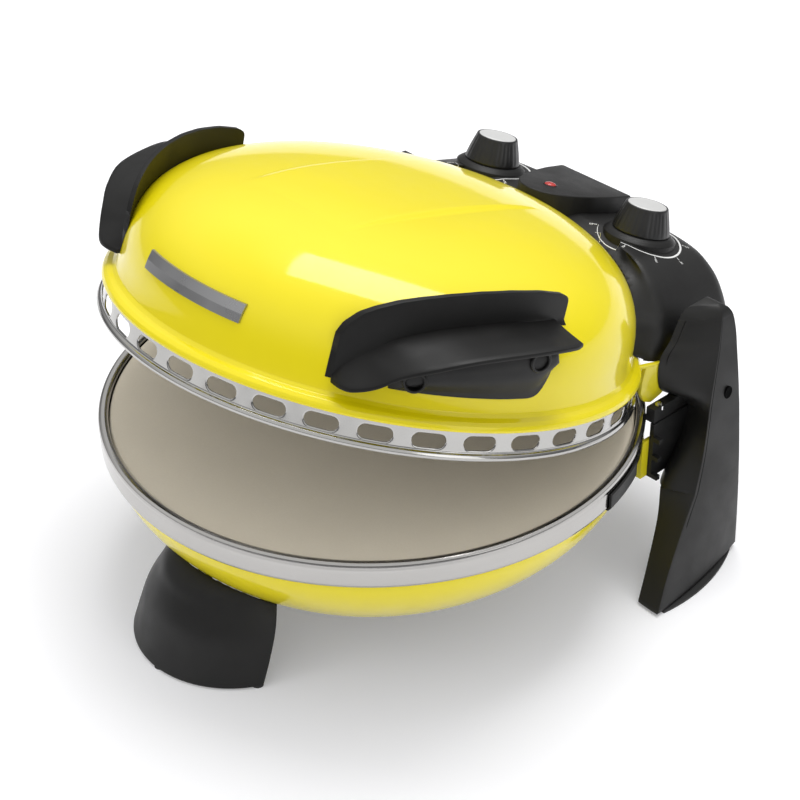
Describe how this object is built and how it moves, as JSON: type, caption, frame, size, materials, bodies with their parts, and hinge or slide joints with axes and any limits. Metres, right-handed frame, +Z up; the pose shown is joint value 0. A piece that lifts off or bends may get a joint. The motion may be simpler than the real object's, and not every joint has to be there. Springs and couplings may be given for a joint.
{
  "type": "electric pizza maker",
  "caption": "Countertop pizza oven with a baking stone in a round base, a hinged domed lid with grips and a control housing, rear legs and a front foot.",
  "frame": {"origin": "middle of the bounding box on the surface that the oven stands on", "axes": "+Z up, front of the oven towards -Y, lid pivots parallel to X at the back, +X to the user's right"},
  "size_m": [0.3412, 0.3726, 0.2605],
  "materials": {
    "yellow_paint": "gloss stoved paint",
    "steel_polished": "polished stainless sheet",
    "stone_cream": "matt refractory stone",
    "aluminised_sheet": "aluminised steel sheet",
    "element_tube": "dark oxidised heating tube",
    "zinc_steel": "zinc plated steel",
    "ceramic_white": "ceramic bush",
    "black_plastic": "satin moulded plastic",
    "knob_plastic": "satin fluted plastic",
    "cap_silver": "satin silver cap",
    "lamp_red": "red translucent lens",
    "lamp_glass": "neon lamp",
    "rubber_black": "anti slip pad",
    "wool": "mineral wool",
    "copper_tube": "copper sensing tube",
    "badge_metal": "blank plate"
  },
  "bodies": {
    "base": {"base_bowl": "yellow_paint", "steel_rim": "steel_polished", "baking_stone": "stone_cream", "lower_reflector": "aluminised_sheet", "lower_element": "element_tube", "element_clips_lower": "zinc_steel", "lower_terminals": "ceramic_white", "thermal_fuse": "ceramic_white", "rim_clamps": "black_plastic", "hinge_lugs": "yellow_paint", "leg_bracket_right": "black_plastic", "leg_bracket_left": "black_plastic", "hinge_plate_right": "black_plastic", "hinge_plate_left": "black_plastic", "hinge_screws": "zinc_steel", "rear_leg_right": "black_plastic", "rear_leg_left": "black_plastic", "leg_pads": "rubber_black", "leg_screws": "zinc_steel", "pivot_pin_right": "zinc_steel", "pivot_pin_left": "zinc_steel", "front_foot": "black_plastic", "front_foot_pads": "rubber_black", "foot_screws": "zinc_steel"},
    "lid": {"lid_shell": "yellow_paint", "lid_slotted_ring": "steel_polished", "upper_reflector": "aluminised_sheet", "lid_insulation": "wool", "upper_element": "element_tube", "element_clips_upper": "zinc_steel", "upper_terminals": "ceramic_white", "hinge_arm_right": "yellow_paint", "hinge_arm_left": "yellow_paint", "handle_right": "black_plastic", "handle_left": "black_plastic", "handle_base_right": "black_plastic", "handle_base_left": "black_plastic", "handle_screws": "zinc_steel", "front_badge": "badge_metal", "control_housing": "black_plastic", "housing_base_cover": "black_plastic", "centre_panel": "black_plastic", "pilot_lens": "lamp_red", "pilot_lamp": "lamp_glass", "dial_rings": "black_plastic", "thermostat_body": "zinc_steel", "timer_body": "zinc_steel", "thermostat_bulb": "copper_tube", "terminal_block": "ceramic_white", "cord_gland": "rubber_black"},
    "thermostat": {"thermostat_knob": "knob_plastic", "thermostat_shaft": "zinc_steel", "thermostat_cap": "cap_silver"},
    "timer": {"timer_knob": "knob_plastic", "timer_shaft": "zinc_steel", "timer_cap": "cap_silver"}
  },
  "joints": [
    {"name": "lid_hinge", "type": "hinge", "parent": "base", "child": "lid", "pos_m": [0, 0.11898, 0.1388], "axis": [-1, 0, 0], "range_deg": [-16.36, 68.64]},
    {"name": "thermostat_turn", "type": "hinge", "parent": "lid", "child": "thermostat", "pos_m": [0.0622, 0.14565, 0.181], "axis": [0, -0.2817, -0.9595], "range_deg": [0, 270]},
    {"name": "timer_turn", "type": "hinge", "parent": "lid", "child": "timer", "pos_m": [-0.0622, 0.14565, 0.181], "axis": [0, -0.2817, -0.9595], "range_deg": [0, 300]}
  ]
}
